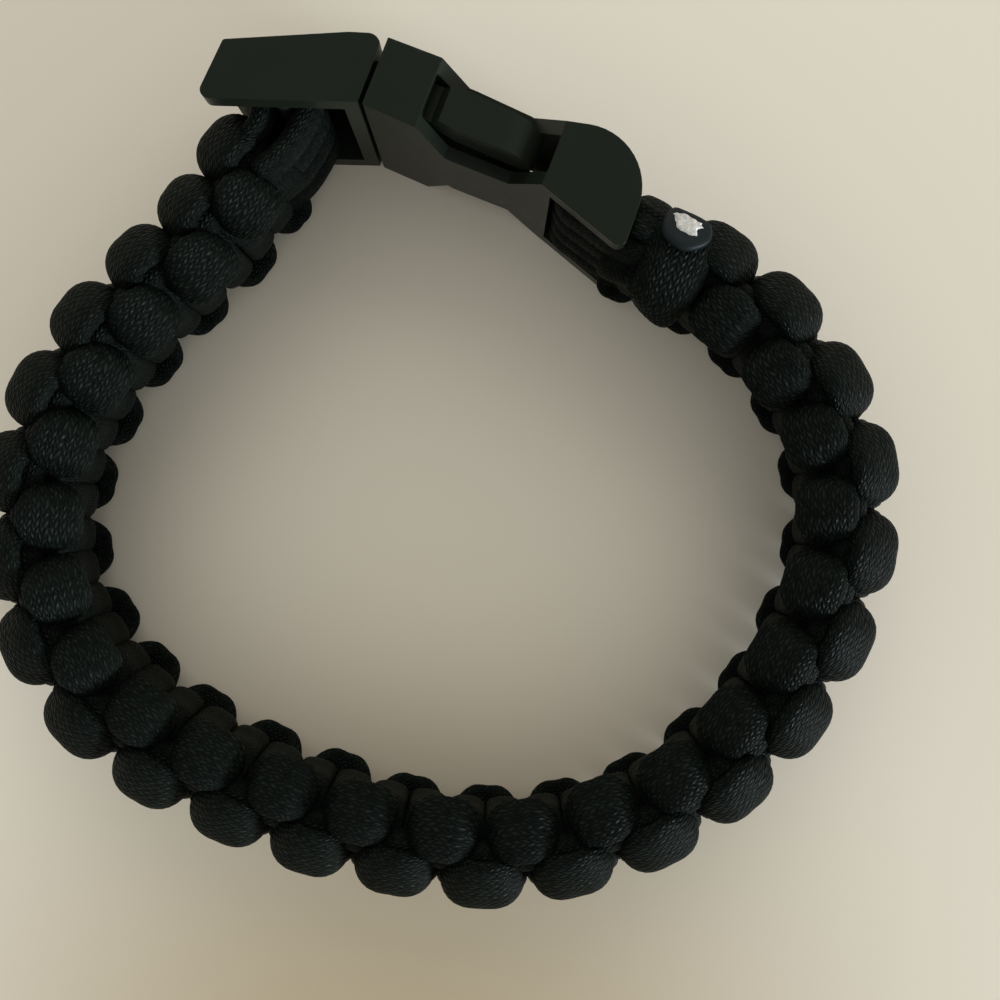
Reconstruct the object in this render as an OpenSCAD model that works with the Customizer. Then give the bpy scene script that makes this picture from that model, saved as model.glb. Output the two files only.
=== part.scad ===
// Woven cord bracelet with a curved side-release buckle, lying on its edge as a closed loop.
// Millimetres. The table is at z = 0, the buckle lies at the +Y side of the loop.

/* [Loop] */
// Mean radius of the loop, from its middle to the middle of the band
loop_r = 40; // [37:0.5:46]
// How far the top edge of the band leans towards the wrist, in degrees
band_lean = 5; // [0:1:8]

/* [Band] */
// Width of the band, from its bottom edge to its top edge
band_w = 20.2; // [18:0.2:21]
// Thickness of the band over its bars
band_t = 10; // [8.8:0.2:10.4]
// Length of one whole knot along the band
knot_pitch = 8.8; // [7.5:0.1:11]
// Depth of the dents between the bights on both edges
dent_depth = 2.4; // [1.4:0.2:2.8]
// Depth of the grooves between the bars on both faces
groove_depth = 0.6; // [0.3:0.1:1]

/* [Cord] */
// Width of one strand where it lies flattened round a bar
strand_w = 4.1; // [3.6:0.1:4.2]
// Thickness of one strand where it lies flattened round a bar
strand_t = 2.3; // [2:0.1:2.4]
// Diameter of the melted cord ends
melt_d = 5.1; // [4:0.1:5.4]
// Height of the melted cord ends
melt_h = 1.2; // [0.9:0.1:1.3]

/* [Buckle] */
// Width of the buckle, from one edge to the other
buckle_w = 21.5; // [21:0.5:26]
// Thickness of both halves where they meet
buckle_t = 7.3; // [7:0.1:8]
// Turn of the prong half against the socket half, in degrees
buckle_bend = 20; // [14:1:24]
// Thickness of the side cheeks that carry the bars
cheek_t = 2.2; // [1.6:0.1:2.8]
// Thickness of the hoods over the cords
hood_t = 1.1; // [0.9:0.1:1.2]
// Diameter of the bars that the cords go round
bar_d = 2.2; // [1.8:0.1:2.3]
// Gap between the closed halves
seam_gap = 0.5; // [0.3:0.1:0.8]

/* [Prong half] */
// Length of the frame along its wrist side
frame_len = 16; // [15:0.5:19]
// Height of the frame's slanted far end as a share of its thickness at the seam
frame_end_share = 0.83; // [0.7:0.01:0.9]
// Thickness of the wall at the seam
seam_wall = 1.5; // [1.2:0.1:2]
// Thickness of a prong's arm
arm_t = 1.9; // [1.5:0.1:2.2]
// Length of a release pad
pad_len = 9.2; // [8:0.1:9.6]
// Width of the centre guide
guide_w = 4; // [3:0.5:5]

/* [Socket half] */
// Length of the socket's body, from the seam to its tail
socket_len = 20; // [19:0.5:24]
// Length of the closed block at the seam
block_len = 5.9; // [5:0.1:7]
// Depth of the waist cut into each edge for the release pads
waist_depth = 5.4; // [4:0.1:6]
// Thickness of the plate on the wrist side
inner_plate = 1.4; // [1:0.1:1.6]
// Thickness of the plate on the outer side
outer_plate = 1.7; // [1.2:0.1:1.8]
// Thickness of the block's side walls
side_wall = 1.7; // [1.2:0.1:2]
// Radius of the round tail
tail_r = 6.35; // [6.1:0.05:7]
// Gap round the prongs inside the socket
prong_gap = 0.35; // [0.25:0.05:0.5]

/* [Hidden] */

moulded = [0.11, 0.12, 0.11];
braid = [0.10, 0.11, 0.12];
melted = [0.20, 0.22, 0.24];
over = 1;
smooth = 48;

// Loop of the band, seen from above: rows at even bearings, clockwise from the socket's tail to
// the prong half, with the radius as a share of loop_r, the share of the lean, and the length of
// the knots there as a share of their mean.
RADIUS = 0;
LEAN = 1;
STRETCH = 2;
loop_centre = loop_r * [0.0449, -0.0767];
loop_rows = [
    [0.858,  0.0, 1.03],
    [0.913,  0.4, 0.98],
    [0.991,  0.7, 1.00],
    [1.049,  0.7, 1.02],
    [1.047,  0.9, 1.04],
    [1.016,  0.9, 1.06],
    [0.994,  0.8, 1.06],
    [0.970,  0.9, 1.06],
    [0.938,  0.5, 1.06],
    [0.909,  0.4, 1.04],
    [0.924, -0.1, 1.02],
    [0.989, -0.5, 1.01],
    [1.097, -0.5, 1.00],
    [1.153,  0.4, 1.01],
    [1.123,  0.2, 0.99],
    [1.051,  0.2, 0.95],
    [1.005,  0.1, 0.89],
    [1.095,  0.0, 0.80],
];
loop_fine = 8;
last_row = len(loop_rows) - 1;

// The closed buckle spans the opening of the loop, so the opening follows the buckle's lengths
span_rest = 8.46;
buckle_span = socket_len + frame_len / 2 + span_rest;
open_bearing = 89;
start_r = loop_r * loop_rows[0][RADIUS];
end_r = loop_r * loop_rows[last_row][RADIUS];
opening = acos((start_r * start_r + end_r * end_r - buckle_span * buckle_span) / (2 * start_r * end_r));
loop_start = open_bearing - opening / 2;
loop_step = (360 - opening) / last_row;
// Stretches of the path at the socket and at the prong half that only the core strands run along
socket_reach = 3;
prong_reach = 0.6;
// Part of a knot that lies before the band's first notch
first_part = 0.51;

// Section of the band: shares of half the width and of half the thickness, the wave of dents
// that the point follows, and how much of the dent it takes.
ACROSS = 0;
OUT = 1;
WAVE = 2;
TAKES = 3;
EARLY = 0;
LATE = 0.5;
BARS = 2;
section_rows = [
    [ 1.00,  0.40, EARLY, 1.0],
    [ 0.90,  0.82, EARLY, 1.0],
    [ 0.64,  1.00, EARLY, 0.8],
    [ 0.22,  0.96, BARS,  1.0],
    [-0.22,  0.96, BARS,  1.0],
    [-0.64,  1.00, LATE,  0.8],
    [-0.90,  0.82, LATE,  1.0],
    [-1.00,  0.40, LATE,  1.0],
    [-1.00, -0.40, EARLY, 1.0],
    [-0.90, -0.82, EARLY, 1.0],
    [-0.64, -1.00, EARLY, 0.8],
    [-0.22, -0.96, BARS,  1.0],
    [ 0.22, -0.96, BARS,  1.0],
    [ 0.64, -1.00, LATE,  0.8],
    [ 0.90, -0.82, LATE,  1.0],
    [ 1.00, -0.40, LATE,  1.0],
];
rings_per_knot = 8;

// Sections of the socket's body: share of socket_len along it, then the wrist side and the
// outer side as shares of buckle_t.
ALONG = 0;
WRIST = 1;
OUTER = 2;
socket_rows = [
    [0.00,  0.00, 1.00],
    [0.30, -0.03, 1.01],
    [0.48, -0.09, 1.00],
    [0.80, -0.09, 0.95],
    [1.00, -0.12, 0.83],
];

cord_gap = 0.15;

// Place of the closed seam's wrist-side corner against the line across the loop's opening, and
// the angle of the socket against that line
seam_ahead = socket_len + 7.52;
seam_off = 4.14;
socket_turn = -7.1;
span_vector = loop_point(last_row) - loop_point(0);
span_way = span_vector / norm(span_vector);
seam_at = loop_point(0) + seam_ahead * span_way + seam_off * [span_way[1], -span_way[0]];
socket_angle = atan2(-span_way[1], -span_way[0]) + socket_turn;

tail_centre = [socket_len + 0.57 * tail_r, 0.06 * tail_r];
tip_r = 0.9;
tip_at = tail_centre + [0.88 * tail_r, -0.52 * tail_r];
tail_bar = [socket_len + hood_t + bar_d / 2 + strand_t + 2 * cord_gap, 0.14 * buckle_t];
waist_start = block_len;
waist_end = socket_len;
waist_slope = 2.9;
pad_gap = 1.9;
pad_start = block_len + pad_gap;
pad_rise = 2.6;
frame_bar = [-0.5 * frame_len, 0.5 * bar_d];
frame_round = 0.9;
cheek_inside = buckle_w - 2 * cheek_t;
// As many strands lie side by side between the cheeks as there is room for
side_play = 0.1;
loop_strands = floor((cheek_inside - 2 * side_play) / strand_w);

function mix(a, b, u) = a + (b - a) * u;

// Smooth curve through the column of a table, at a row number that may be broken
function clamp_row(rows, i) = rows[max(0, min(len(rows) - 1, i))];
function smooth_cell(rows, column, x) =
    let (i = min(floor(x), len(rows) - 2),
         u = x - i,
         a = clamp_row(rows, i - 1)[column],
         b = clamp_row(rows, i)[column],
         c = clamp_row(rows, i + 1)[column],
         d = clamp_row(rows, i + 2)[column])
    b + 0.5 * u * (c - a + u * (2 * a - 5 * b + 4 * c - d + u * (3 * (b - c) + d - a)));

function loop_point(x) =
    let (bearing = loop_start - loop_step * x,
         r = loop_r * smooth_cell(loop_rows, RADIUS, x))
    [loop_centre[0] + r * cos(bearing), loop_centre[1] + r * sin(bearing)];

loop_count = last_row * loop_fine;
loop_points = [for (i = [0:loop_count]) loop_point(i / loop_fine)];
loop_steps = concat([for (i = [0:loop_count - 1]) norm(loop_points[i + 1] - loop_points[i])], [0]);
loop_ease = [for (i = [0:loop_count]) loop_steps[i] / smooth_cell(loop_rows, STRETCH, i / loop_fine)];
loop_run = [for (i = 0, s = 0; i <= loop_count; s = s + loop_steps[i], i = i + 1) s];
ease_run = [for (i = 0, s = 0; i <= loop_count; s = s + loop_ease[i], i = i + 1) s];
x_table = [for (i = [0:loop_count]) [loop_run[i], loop_points[i][0]]];
y_table = [for (i = [0:loop_count]) [loop_run[i], loop_points[i][1]]];
row_table = [for (i = [0:loop_count]) [loop_run[i], i / loop_fine]];
ease_table = [for (i = [0:loop_count]) [loop_run[i], ease_run[i]]];
place_table = [for (i = [0:loop_count]) [ease_run[i], loop_run[i]]];
loop_len = loop_run[loop_count];
band_from = socket_reach;
band_to = loop_len - prong_reach;
half_knots = round(2 * (band_to - band_from) / knot_pitch);
knot_count = half_knots / 2;
ease_from = lookup(band_from, ease_table);
ease_to = lookup(band_to, ease_table);

function band_at(s) = [lookup(s, x_table), lookup(s, y_table)];
slope_reach = 1;
function band_along(s) =
    let (d = band_at(min(loop_len, s + slope_reach)) - band_at(max(0, s - slope_reach)))
    d / norm(d);
// Place along the path where so many knots of the band have passed
function knot_place(knots) = lookup(mix(ease_from, ease_to, knots / knot_count), place_table);
function band_outward(s) = let (a = band_along(s)) [-a[1], a[0]];
function band_lean_at(s) = band_lean * smooth_cell(loop_rows, LEAN, lookup(s, row_table));

// Point of the bracelet: s along the band, t outwards and w upwards from the band's middle
function band_point(s, t, w) =
    let (p = band_at(s) + (t - w * tan(band_lean_at(s))) * band_outward(s))
    [p[0], p[1], band_w / 2 + w];

// Dent between two bights: 1 in the notch, 0 over the bight
function dent(knots, wave) = wave == BARS ? pow(abs(cos(360 * knots)), 3)
                                          : pow(abs(cos(180 * (knots - wave))), 3);
function dent_size(row) = row[WAVE] == BARS ? groove_depth : dent_depth * row[TAKES];

// Both ends of the band draw in, to go between the cheeks: shares of the width and thickness
end_taper = 0.6;
end_shares = [0.80, 0.92];
function end_fit(knots) =
    let (near = min(1, min(knots, knot_count - knots) / end_taper))
    [for (share = end_shares) mix(share, 1, near)];

function band_ring(knots) =
    let (s = knot_place(knots), fit = end_fit(knots))
    [for (row = section_rows)
        let (half = [row[ACROSS] * band_w / 2 * fit[0], row[OUT] * band_t / 2 * fit[1]],
             d = dent(knots - first_part, row[WAVE]) * dent_size(row),
             dented = half - d * half / norm(half))
        band_point(s, dented[1], dented[0])];

// Closed skin over rings of equal length, with a fan of faces on each end
module skin(rings) {
    n = len(rings[0]);
    last = len(rings) - 1;
    points = [for (ring = rings) each ring];
    sides = [for (i = [0:last - 1], j = [0:n - 1])
        each [[i * n + j, i * n + (j + 1) % n, (i + 1) * n + (j + 1) % n],
              [i * n + j, (i + 1) * n + (j + 1) % n, (i + 1) * n + j]]];
    polyhedron(points, concat(sides, [[for (j = [n - 1:-1:0]) j]], [[for (j = [0:n - 1]) last * n + j]]));
}

module woven_band() {
    color(braid)
        skin([for (i = [0:knot_count * rings_per_knot]) band_ring(i / rings_per_knot)]);
}

function arc(centre, r, from, to, steps) =
    [for (i = [0:steps]) let (a = mix(from, to, i / steps)) centre + r * [cos(a), sin(a)]];

function socket_side(side, shift) =
    [for (row = socket_rows) [row[ALONG] * socket_len, row[side] * buckle_t + shift]];
function turned(list) = [for (i = [len(list) - 1:-1:0]) list[i]];

// Side outline of the socket half: body, round tail and its tip towards the wrist
module socket_outline() {
    polygon(concat(
        socket_side(OUTER, 0),
        arc(tail_centre, tail_r, 102, 0, 14),
        arc(tip_at, tip_r, -10, -110, 6),
        turned(socket_side(WRIST, 0))));
}

// Space between the two plates, drawn in by a gap on each side
module channel_outline(gap) {
    polygon(concat(
        [[-over, inner_plate + gap], [-over, buckle_t - outer_plate - gap]],
        socket_side(OUTER, -outer_plate - gap),
        turned(socket_side(WRIST, inner_plate + gap))));
}

// Space for the cord under the hood of the tail, open towards the wrist and the band
hood_stop = 52;
module tail_hollow_outline() {
    mouth = socket_len + hood_t;
    inside = tail_r - hood_t;
    polygon(concat(
        [[mouth, -tail_r], [mouth, tail_centre[1] + inside * sin(115)]],
        arc(tail_centre, inside, 110, hood_stop, 8),
        [tail_centre + (tail_r + over) * [cos(hood_stop), sin(hood_stop)],
         tail_centre + tail_r * [2, 0],
         tail_centre + tail_r * [2, -2],
         [mouth, -2 * tail_r]]));
}

// The waist seen from the outer side, cut into the top edge
module waist_outline() {
    polygon([
        [waist_start, over],
        [waist_start, 0],
        [waist_start + waist_slope, -waist_depth],
        [waist_end - 1.3 * waist_slope, -waist_depth],
        [waist_end, 0],
        [waist_end, over]]);
}

module at_seam() {
    translate([seam_at[0], seam_at[1], 0])
        rotate([0, 0, socket_angle])
            children();
}

module both_edges() {
    children();
    translate([0, 0, buckle_w])
        mirror([0, 0, 1])
            children();
}

module socket_half() {
    color(moulded)
        at_seam() {
            difference() {
                linear_extrude(buckle_w)
                    socket_outline();
                translate([0, 0, side_wall])
                    linear_extrude(buckle_w - 2 * side_wall)
                        intersection() {
                            channel_outline(0);
                            translate([-2 * over, -buckle_t])
                                square([socket_len + 2 * over, 3 * buckle_t]);
                        }
                both_edges()
                    translate([0, 0, -over])
                        linear_extrude(buckle_w / 2)
                            intersection() {
                                channel_outline(0);
                                translate([waist_start, -buckle_t])
                                    square([socket_len - waist_start, 3 * buckle_t]);
                            }
                both_edges()
                    translate([0, 2 * buckle_t, buckle_w])
                        rotate([90, 0, 0])
                            linear_extrude(4 * buckle_t)
                                waist_outline();
                translate([0, 0, cheek_t])
                    linear_extrude(cheek_inside)
                        tail_hollow_outline();
            }
            translate([tail_bar[0], tail_bar[1], cheek_t / 2])
                cylinder(d = bar_d, h = buckle_w - cheek_t, $fn = smooth);
        }
}

// Side outline of the prong half's frame, its seam end at the origin and its length along -X
frame_seam = buckle_t * [sin(buckle_bend), cos(buckle_bend)];
frame_far = [-frame_len + 0.3 * buckle_t, frame_end_share * buckle_t];
frame_top = buckle_t * [-0.14, 0.973];
far_round = 0.4;
seam_round = 1.3;
module frame_outline() {
    polygon(concat(
        [[0, 0]],
        arc([-frame_len + frame_round, frame_round], frame_round, 270, 165, 5),
        arc(frame_far + far_round * [0.75, -1], far_round, 150, 90, 3),
        [frame_top],
        arc(frame_seam - seam_round * [1.23, 0.85], seam_round, 85, 20, 5),
        [0.8 * frame_seam]));
}

// Space for the cord inside the frame, open towards the wrist and the band
module frame_hollow_outline() {
    seam_side = seam_wall / cos(buckle_bend);
    far = frame_far + [hood_t, -hood_t];
    near_y = frame_top[1] - hood_t;
    sill = 0.55 * frame_far[1];
    polygon([
        [-seam_side, -over],
        [-seam_side, 0],
        [-seam_side + near_y * tan(buckle_bend), near_y],
        [frame_top[0], near_y],
        far,
        [far[0] - hood_t / 2, sill],
        [-frame_len - over, sill],
        [-frame_len - over, -over]]);
}

arm_top = buckle_w - side_wall - prong_gap;

// One prong seen from the outer side: its arm, its step out and its curved release pad
pad_inset = 0.2;
pad_step = 1;
pad_round = 4;
module prong_outline() {
    pad_end = pad_start + pad_len;
    pad_top = buckle_w - pad_inset;
    pad_foot = pad_top - 1.15 * pad_round;
    polygon(concat(
        [[-seam_gap - seam_wall / 2, arm_top - arm_t],
         [-seam_gap - seam_wall / 2, arm_top],
         [pad_start - pad_step, arm_top],
         [pad_start, arm_top + pad_step],
         [pad_start, pad_top]],
        arc([pad_end - pad_rise, pad_top - pad_round], pad_round, 90, 12, 7),
        [[pad_end, pad_foot],
         [pad_end - 0.4 * pad_round, pad_foot],
         [pad_start + pad_step, arm_top - arm_t]]));
}

module guide_outline() {
    middle = buckle_w / 2;
    tip = 0.62 * socket_len;
    shoulder = tip - guide_w / 2;
    polygon([
        [-seam_gap - seam_wall / 2, middle - guide_w / 2],
        [shoulder, middle - guide_w / 2],
        [tip, middle - guide_w / 4],
        [tip, middle + guide_w / 4],
        [shoulder, middle + guide_w / 2],
        [-seam_gap - seam_wall / 2, middle + guide_w / 2]]);
}

module prong_half() {
    color(moulded)
        at_seam() {
            translate([-seam_gap, 0, 0])
                rotate([0, 0, buckle_bend]) {
                    difference() {
                        linear_extrude(buckle_w)
                            frame_outline();
                        translate([0, 0, cheek_t])
                            linear_extrude(cheek_inside)
                                frame_hollow_outline();
                    }
                    translate([frame_bar[0], frame_bar[1], cheek_t / 2])
                        cylinder(d = bar_d, h = buckle_w - cheek_t, $fn = smooth);
                }
            intersection() {
                linear_extrude(buckle_w)
                    union() {
                        translate([-seam_gap - seam_wall, inner_plate + prong_gap])
                            square([seam_wall + 2 * over, buckle_t - inner_plate - outer_plate - 2 * prong_gap]);
                        channel_outline(prong_gap);
                    }
                translate([0, 2 * buckle_t, 0])
                    rotate([90, 0, 0])
                        linear_extrude(4 * buckle_t)
                            union() {
                                prong_outline();
                                translate([0, buckle_w])
                                    mirror([0, 1])
                                        prong_outline();
                                guide_outline();
                            }
            }
        }
}

// Places in the plane of the table, worked out from the buckle's own frames
function rotated(p, a) = [p[0] * cos(a) - p[1] * sin(a), p[0] * sin(a) + p[1] * cos(a)];
function socket_place(p) = seam_at + rotated(p, socket_angle);
function frame_place(p) = socket_place([-seam_gap, 0] + rotated(p, buckle_bend));

// A flat bundle of strands side by side, which leaves the band, goes round a bar and comes back.
// A thinner web joins the strands, so that a valley shows between them.
web_share = 0.7;
strand_share = 0.84;

// Direction across the path at its point number i. Both ends lie along the band's end face.
function path_side(path, face_side, i) =
    let (last = len(path) - 1,
         d = path[min(last, i + 1)] - path[max(0, i - 1)])
    i == 0 ? face_side : i == last ? -face_side : [-d[1], d[0]] / norm(d);

module bundle_outline(path, face_side, thick) {
    count = len(path);
    polygon([for (i = [0:2 * count - 1])
        let (k = i < count ? i : 2 * count - 1 - i,
             up = i < count ? 1 : -1)
        path[k] + up * thick / 2 * path_side(path, face_side, k)]);
}

module cord_loop(bar, s, away) {
    path = loop_path(bar, s, away);
    face_side = away * band_outward(s);
    bundle_w = loop_strands * strand_w;
    color(braid)
        translate([0, 0, (buckle_w - bundle_w) / 2]) {
            translate([0, 0, 0.5 * (1 - strand_share) * strand_w])
                linear_extrude(bundle_w - (1 - strand_share) * strand_w)
                    bundle_outline(path, face_side, web_share * strand_t);
            for (i = [0:loop_strands - 1])
                translate([0, 0, (i + 0.5 - strand_share / 2) * strand_w])
                    linear_extrude(strand_share * strand_w)
                        bundle_outline(path, face_side, strand_t);
        }
}

wrap_r = (bar_d + strand_t) / 2 + cord_gap;
wrap_steps = 12;
leg_out = 2.2;
leg_gap = 0.3;

// Path from one leg at the band's end face, round the bar and back to the other leg
function loop_path(bar, s, away) =
    let (face = band_at(s) + away * leg_gap * band_along(s),
         heading = atan2(face[1] - bar[1], face[0] - bar[0]),
         leg = -away * leg_out * band_outward(s))
    concat([face + leg],
           arc(bar, wrap_r, heading + 78, heading + 282, wrap_steps),
           [face - leg]);

module socket_cord_loop() {
    cord_loop(socket_place(tail_bar), band_from, -1);
}

module prong_cord_loop() {
    cord_loop(frame_place(frame_bar), band_to, 1);
}

// A cut cord end, melted into a low dome. Each row of places has the knots passed, the offset
// outwards, the height above or below the band's middle, and the tilt away from upright.
KNOTS = 0;
OFF = 1;
RISE = 2;
TILT = 3;
melt_seat_gap = 0.25;
top_melt = [0.50, 0.30, 0.93, 18];
low_melt = [0.50, 1.02, -0.62, 112];

module melted_end() {
    dome = 0.3 * melt_h;
    rotate_extrude($fn = smooth)
        polygon([
            [0, 0],
            [0.44 * melt_d, 0],
            [0.5 * melt_d, 0.25 * melt_h],
            [0.5 * melt_d, melt_h - dome],
            [0.42 * melt_d, melt_h - 0.3 * dome],
            [0, melt_h]]);
}

module on_first_knot(row) {
    s = knot_place(row[KNOTS]);
    p = band_point(s, row[OFF] * band_t / 2, row[RISE] * band_w / 2);
    out = band_outward(s);
    color(melted)
        translate(p)
            rotate([0, 0, atan2(out[1], out[0])])
                rotate([0, row[TILT], 0])
                    translate([0, 0, melt_seat_gap])
                        melted_end();
}

module melted_end_top() {
    on_first_knot(top_melt);
}

module melted_end_bottom() {
    on_first_knot(low_melt);
}

prong_half();
socket_half();
woven_band();
prong_cord_loop();
socket_cord_loop();
melted_end_top();
melted_end_bottom();
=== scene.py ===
"""Looks of a woven cord bracelet with a curved side-release buckle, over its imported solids.

Sizes are millimetres inside the classes, and become metres when a mesh is made.
"""
import logging
import math
from dataclasses import dataclass, field
from enum import Enum

import bmesh
import bpy
import numpy as np
from mathutils import Matrix, Vector


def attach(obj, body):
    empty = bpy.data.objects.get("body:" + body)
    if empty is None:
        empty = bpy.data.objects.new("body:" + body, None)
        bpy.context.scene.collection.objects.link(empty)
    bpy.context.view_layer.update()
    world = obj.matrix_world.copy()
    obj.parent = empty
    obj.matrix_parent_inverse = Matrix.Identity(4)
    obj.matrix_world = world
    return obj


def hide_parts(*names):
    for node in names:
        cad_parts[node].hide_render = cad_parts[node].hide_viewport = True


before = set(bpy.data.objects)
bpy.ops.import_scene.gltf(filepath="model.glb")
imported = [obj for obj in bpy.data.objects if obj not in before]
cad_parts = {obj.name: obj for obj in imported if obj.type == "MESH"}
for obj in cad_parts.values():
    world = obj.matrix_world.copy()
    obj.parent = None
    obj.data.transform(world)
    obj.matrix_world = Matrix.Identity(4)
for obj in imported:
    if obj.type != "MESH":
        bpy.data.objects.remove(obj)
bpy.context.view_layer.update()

MM = 0.001
BODY = "root"
UP = np.array([0.0, 0.0, 1.0])
RELIEF_SHARE = "relief_share"
COURSE_NUMBERS = ("wide", "thick", "run", RELIEF_SHARE)
SEAM_WELD = 0.001

log = logging.getLogger("bracelet")


class WorkingCord(Enum):
    """The two cords of the weave, named by the face that their legs cross."""

    OUTER = 1
    INNER = -1


class BandEnd(Enum):
    """Ends of the band, with the way along its path that leads out of it."""

    SOCKET = -1
    PRONG = 1


class Slot(Enum):
    """Material slots of the record."""

    PLASTIC = "moulded_plastic"
    CORD = "braided_cord"
    MELT = "melted_cord"


def smooth_column(column: np.ndarray, rows: np.ndarray) -> np.ndarray:
    """Read a given column along one smooth curve.

    Args:
        column: One number for each whole row.
        rows: Row numbers to read at, which may be broken.

    Returns:
        The curve's value at each wanted row.
    """
    last = len(column) - 1
    base = np.clip(np.floor(rows).astype(int), 0, last - 1)
    u = rows - base
    a, b, c, d = (column[np.clip(base + shift, 0, last)] for shift in (-1, 0, 1, 2))
    return b + 0.5 * u * (c - a + u * (2 * a - 5 * b + 4 * c - d + u * (3 * (b - c) + d - a)))


def smooth_through(places: np.ndarray, values: np.ndarray, wanted: np.ndarray) -> np.ndarray:
    """Read rows of values along one smooth curve through all of them.

    Args:
        places: Growing place of each row.
        values: One row of numbers for each place.
        wanted: Places to read the curve at.

    Returns:
        One row of numbers for each wanted place.
    """
    step = np.diff(places)[:, None]
    slope = np.diff(values, axis=0) / step
    inner = (slope[:-1] * step[1:] + slope[1:] * step[:-1]) / (step[:-1] + step[1:])
    lean = np.vstack((slope[:1], inner, slope[-1:]))
    i = np.clip(np.searchsorted(places, wanted, side="right") - 1, 0, len(places) - 2)
    width = step[i]
    u = ((wanted - places[i]) / width[:, 0])[:, None]
    start = (1 + 2 * u) * (1 - u) ** 2 * values[i] + u * (1 - u) ** 2 * width * lean[i]
    end = u**2 * (3 - 2 * u) * values[i + 1] - u**2 * (1 - u) * width * lean[i + 1]
    return start + end


def unit(rows: np.ndarray) -> np.ndarray:
    """Scale each row to the length of one."""
    return rows / np.maximum(np.linalg.norm(rows, axis=-1, keepdims=True), 1e-9)


def run_along(points: np.ndarray) -> np.ndarray:
    """Distances covered at each point of a line."""
    steps = np.linalg.norm(np.diff(points, axis=0), axis=1)
    return np.concatenate(([0.0], np.cumsum(steps)))


def placed(name: str, data: bpy.types.ID) -> bpy.types.Object:
    """Put data into the scene.

    Args:
        name: Name of the object.
        data: Its mesh, camera or light.

    Returns:
        The new object.
    """
    thing = bpy.data.objects.new(name, data)
    bpy.context.scene.collection.objects.link(thing)
    return thing


class NodeSketch:
    """Adds, feeds and links the nodes of one tree."""

    def __init__(self, tree: bpy.types.NodeTree) -> None:
        """Start on an empty tree."""
        self.tree = tree

    def add(self, kind: str, feeds: dict | None = None, **settings: object) -> bpy.types.Node:
        """Add a node.

        Args:
            kind: Type name of the node.
            feeds: Value or source socket for each input, by its name or number.
            settings: Properties of the node.

        Returns:
            The new node.
        """
        node = self.tree.nodes.new(kind)
        for name, value in settings.items():
            setattr(node, name, value)
        for name, value in (feeds or {}).items():
            self.feed(self.socket(node.inputs, name), value)
        return node

    @staticmethod
    def socket(sockets: object, name: str | int) -> bpy.types.NodeSocket:
        """Find a socket.

        Args:
            sockets: Inputs or outputs of a node.
            name: Name of an enabled socket, or the number of any.

        Returns:
            The socket.
        """
        if isinstance(name, int):
            return sockets[name]
        return next(s for s in sockets if s.name == name and s.enabled)

    def feed(self, target: bpy.types.NodeSocket, value: object) -> None:
        """Give an input what it reads.

        Args:
            target: The input.
            value: A source socket to link, or the input's own value.
        """
        if isinstance(value, bpy.types.NodeSocket):
            self.tree.links.new(value, target)
        else:
            target.default_value = value

    def math(self, operation: str, *values: object) -> bpy.types.NodeSocket:
        """Result of a math node on numbers or sockets."""
        feeds = dict(enumerate(values))
        return self.add("ShaderNodeMath", feeds, operation=operation).outputs[0]

    def vector(self, operation: str, *values: object) -> bpy.types.NodeSocket:
        """Result of a vector math node on vectors."""
        node = self.add("ShaderNodeVectorMath", dict(enumerate(values)), operation=operation)
        return node.outputs[0]

    def scaled(self, vector: bpy.types.NodeSocket, by: object) -> bpy.types.NodeSocket:
        """A vector times a number."""
        feeds = {"Vector": vector, "Scale": by}
        return self.add("ShaderNodeVectorMath", feeds, operation="SCALE").outputs[0]

    def share(self, value: object, ends: tuple[float, float],
              **settings: object) -> bpy.types.NodeSocket:
        """Share of the way that a value has come from one number to another."""
        feeds = {"Value": value, "From Min": ends[0], "From Max": ends[1]}
        return self.add("ShaderNodeMapRange", feeds, **settings).outputs["Result"]

    def relief(self, shader: bpy.types.Node, height: object, strength: float, depth: float) -> None:
        """Raise a height on a shader's surface, with its depth in millimetres."""
        feeds = {"Height": height, "Strength": strength, "Distance": depth * MM}
        self.feed(shader.inputs["Normal"], self.add("ShaderNodeBump", feeds).outputs["Normal"])


@dataclass(frozen=True)
class Braid:
    """Herringbone of the cord's sheath: columns round it, each with slanted stitches.

    A gather draws the columns to the cord's flat sides, and a fullness below 1 swells its section.
    """

    columns: int = 40
    stitch: float = 0.76
    slant: float = 0.60
    relief: float = 0.03
    sides: int = 64
    gather: float = 0.2
    fullness: float = 0.8

    def height(self, sketch: NodeSketch, turn: object, run: object) -> bpy.types.NodeSocket:
        """Height of the stitches, from 0 in a valley to 1 on a crest.

        Args:
            sketch: Tree that the nodes go to.
            turn: Share of the way round the cord.
            run: Distance along the cord in metres.

        Returns:
            Socket with the height.
        """
        across = sketch.math("MULTIPLY", turn, float(self.columns))
        odd = sketch.math("FLOORED_MODULO", sketch.math("FLOOR", across), 2.0)
        x = sketch.math("SUBTRACT", sketch.math("FRACT", across), 0.5)
        way = sketch.math("MULTIPLY_ADD", odd, -2.0, 1.0)
        shift = sketch.math("MULTIPLY", sketch.math("MULTIPLY", x, way), self.slant)
        steps = sketch.math("DIVIDE", run, self.stitch * MM)
        phase = sketch.math("ADD", sketch.math("MULTIPLY_ADD", odd, 0.5, steps), shift)
        wave = sketch.math("COSINE", sketch.math("MULTIPLY", phase, math.tau))
        crest = sketch.math("MULTIPLY_ADD", sketch.math("MULTIPLY", x, x), -4.0, 1.0)
        return sketch.math("MULTIPLY", crest, sketch.math("MULTIPLY_ADD", wave, 0.5, 0.5))


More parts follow.
